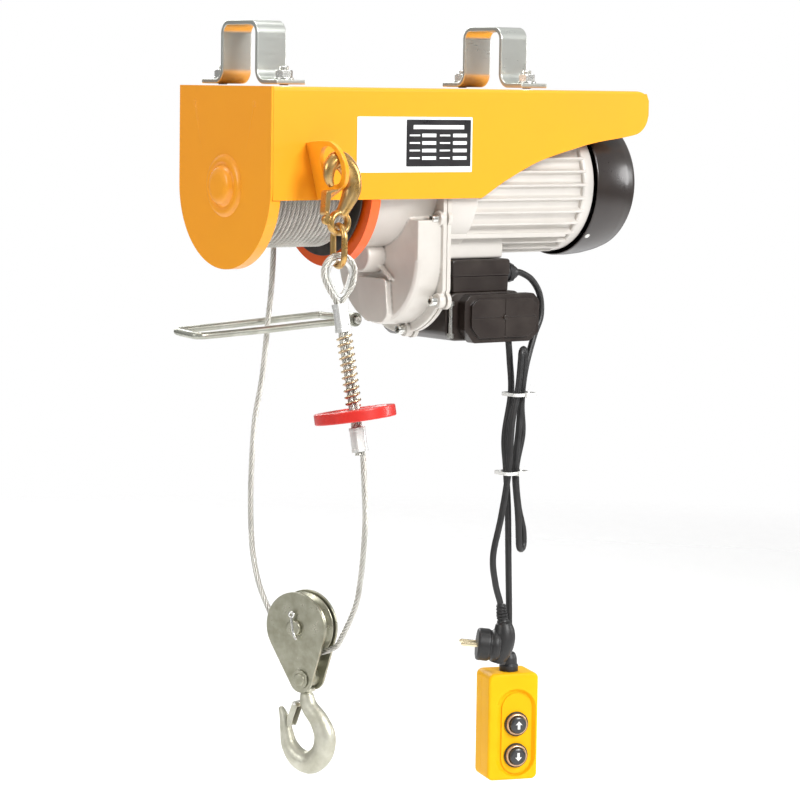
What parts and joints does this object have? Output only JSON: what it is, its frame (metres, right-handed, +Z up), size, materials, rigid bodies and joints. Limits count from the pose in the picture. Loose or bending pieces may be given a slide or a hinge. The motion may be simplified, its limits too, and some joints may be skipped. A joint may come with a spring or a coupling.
{
  "type": "electric wire rope hoist",
  "caption": "Compact electric wire rope hoist hung by straps from a bar, with drum, finned motor, pulley block with swivel hook, limit lever and push-button pendant.",
  "frame": {"origin": "midway between the two hanging straps, on the plane of the undersides of their tops, where the carrying bar bears", "axes": "+X along the drum and motor axis towards the motor's fan cover, -Y towards the side with the anchor hook and name label, +Z up"},
  "size_m": [0.5345, 0.2856, 0.857],
  "materials": {
    "frame_paint": "semi-gloss yellow-orange powder coat",
    "inner_plate_paint": "semi-gloss orange powder coat",
    "strap_zinc": "bright zinc plate",
    "drum_steel": "dark machined casting",
    "rope_steel": "galvanised steel strands",
    "machined_steel": "machined steel",
    "cast_aluminium": "fine sand-blasted casting",
    "stator_copper": "lacquered windings on steel laminations",
    "screw_steel": "zinc-plated socket screws",
    "fan_plastic": "moulded",
    "cover_black": "satin brown-black",
    "gland_black": "moulded",
    "lever_steel": "zinc-plated rod",
    "hook_yellow_zinc": "yellow chromate on forged steel",
    "zinc_steel": "zinc plate",
    "spring_steel": "bright spring wire",
    "disc_red": "moulded rubber-like plastic",
    "sheave_steel": "turned groove",
    "hook_steel": "forged, zinc plated",
    "pendant_yellow": "moulded",
    "button_black": "moulded cap",
    "contact_plastic": "moulded",
    "cable_black": "matt sheath",
    "tie_white": "nylon"
  },
  "bodies": {
    "frame": {"frame_channel": "frame_paint", "end_plate_left": "frame_paint", "anchor_lug": "frame_paint", "end_plate_inner": "inner_plate_paint", "strap_left": "strap_zinc", "strap_right": "strap_zinc", "bolt_left_front": "strap_zinc", "bolt_left_rear": "strap_zinc", "bolt_right_front": "strap_zinc", "bolt_right_rear": "strap_zinc", "wire_rope": "rope_steel", "gear_housing": "cast_aluminium", "gear_cover": "cast_aluminium", "motor_housing": "cast_aluminium", "motor_rear_shield": "cast_aluminium", "stator": "stator_copper", "cover_screw_upper": "screw_steel", "cover_screw_lower": "screw_steel", "cover_screw_bottom": "screw_steel", "fan_cover": "cover_black", "terminal_box": "cover_black", "capacitor_case": "cover_black", "capacitor_cover": "cover_black", "box_gland": "gland_black", "pendant_gland": "gland_black", "anchor_hook": "hook_yellow_zinc", "anchor_link": "zinc_steel", "thimble": "zinc_steel", "ferrule_upper": "zinc_steel", "ferrule_lower": "zinc_steel", "cheek_front": "zinc_steel", "cheek_rear": "zinc_steel", "sheave_axle": "zinc_steel", "buffer_spring": "spring_steel", "pendant_front": "pendant_yellow", "pendant_back": "pendant_yellow", "contact_block": "contact_plastic", "control_cable": "cable_black", "power_cable": "cable_black", "plug": "cable_black", "cable_tie_upper": "tie_white", "cable_tie_lower": "tie_white"},
    "drum": {"drum": "drum_steel", "rope_winding": "rope_steel", "drum_shaft": "machined_steel", "output_gear": "machined_steel"},
    "layshaft": {"layshaft": "machined_steel", "layshaft_wheel": "machined_steel"},
    "rotor": {"rotor": "machined_steel", "fan": "fan_plastic"},
    "limit_lever": {"limit_lever": "lever_steel"},
    "sheave": {"sheave": "sheave_steel"},
    "crosshead": {"hook_crosshead": "zinc_steel"},
    "load_hook": {"load_hook": "hook_steel"},
    "load_latch": {"load_latch": "zinc_steel"},
    "anchor_latch": {"anchor_latch": "hook_yellow_zinc"},
    "stop_disc": {"stop_disc": "disc_red"},
    "button_up": {"button_up": "button_black"},
    "button_down": {"button_down": "button_black"}
  },
  "joints": [
    {"name": "drum_spin", "type": "hinge", "parent": "frame", "child": "drum", "pos_m": [0, 0, -0.172], "axis": [1, 0, 0], "continuous": true},
    {"name": "layshaft_spin", "type": "hinge", "parent": "frame", "child": "layshaft", "pos_m": [0, 0, -0.252], "axis": [1, 0, 0], "continuous": true},
    {"name": "rotor_spin", "type": "hinge", "parent": "frame", "child": "rotor", "pos_m": [0, 0, -0.172], "axis": [1, 0, 0], "continuous": true},
    {"name": "limit_lever_tilt", "type": "hinge", "parent": "frame", "child": "limit_lever", "pos_m": [0.002, 0, -0.326], "axis": [0, 1, 0], "range_deg": [0, 10], "stiffness_Nm_per_rad": 0.6, "springref_deg": -2.86},
    {"name": "sheave_spin", "type": "hinge", "parent": "frame", "child": "sheave", "pos_m": [-0.1179, -0.036, -0.6538], "axis": [0.9404, 0.3401, 0], "continuous": true},
    {"name": "crosshead_swing", "type": "hinge", "parent": "frame", "child": "crosshead", "pos_m": [-0.1153, -0.04318, -0.71029], "axis": [0.9404, 0.3401, 0], "range_deg": [-20, 20]},
    {"name": "hook_swivel", "type": "hinge", "parent": "crosshead", "child": "load_hook", "pos_m": [-0.1153, -0.04318, -0.71029], "axis": [0, 0, 1], "continuous": true},
    {"name": "load_latch_open", "type": "hinge", "parent": "load_hook", "child": "load_latch", "pos_m": [-0.11938, -0.0319, -0.7398], "axis": [0.9404, 0.3401, 0], "range_deg": [-28, 0], "stiffness_Nm_per_rad": 0.05, "springref_deg": 28.65},
    {"name": "anchor_latch_open", "type": "hinge", "parent": "frame", "child": "anchor_latch", "pos_m": [-0.163, -0.135, -0.196], "axis": [0, 1, 0], "range_deg": [0, 15], "stiffness_Nm_per_rad": 0.05, "springref_deg": -28.65},
    {"name": "disc_slide", "type": "slide", "parent": "frame", "child": "stop_disc", "axis": [-0.0839, 0.1386, 0.9868], "range_m": [0, 0.02], "stiffness_N_per_m": 700, "springref_m": -0.006, "deforming": ["buffer_spring"]},
    {"name": "button_up_press", "type": "slide", "parent": "frame", "child": "button_up", "axis": [0.3156, 0.9489, 0], "range_m": [0, 0.004], "stiffness_N_per_m": 500, "springref_m": -0.003},
    {"name": "button_down_press", "type": "slide", "parent": "frame", "child": "button_down", "axis": [0.3156, 0.9489, 0], "range_m": [0, 0.004], "stiffness_N_per_m": 500, "springref_m": -0.003}
  ],
  "couplings": [
    {"joint": "layshaft_spin", "follows": "drum_spin", "ratio": -3.9231},
    {"joint": "rotor_spin", "follows": "drum_spin", "ratio": 30.949}
  ]
}
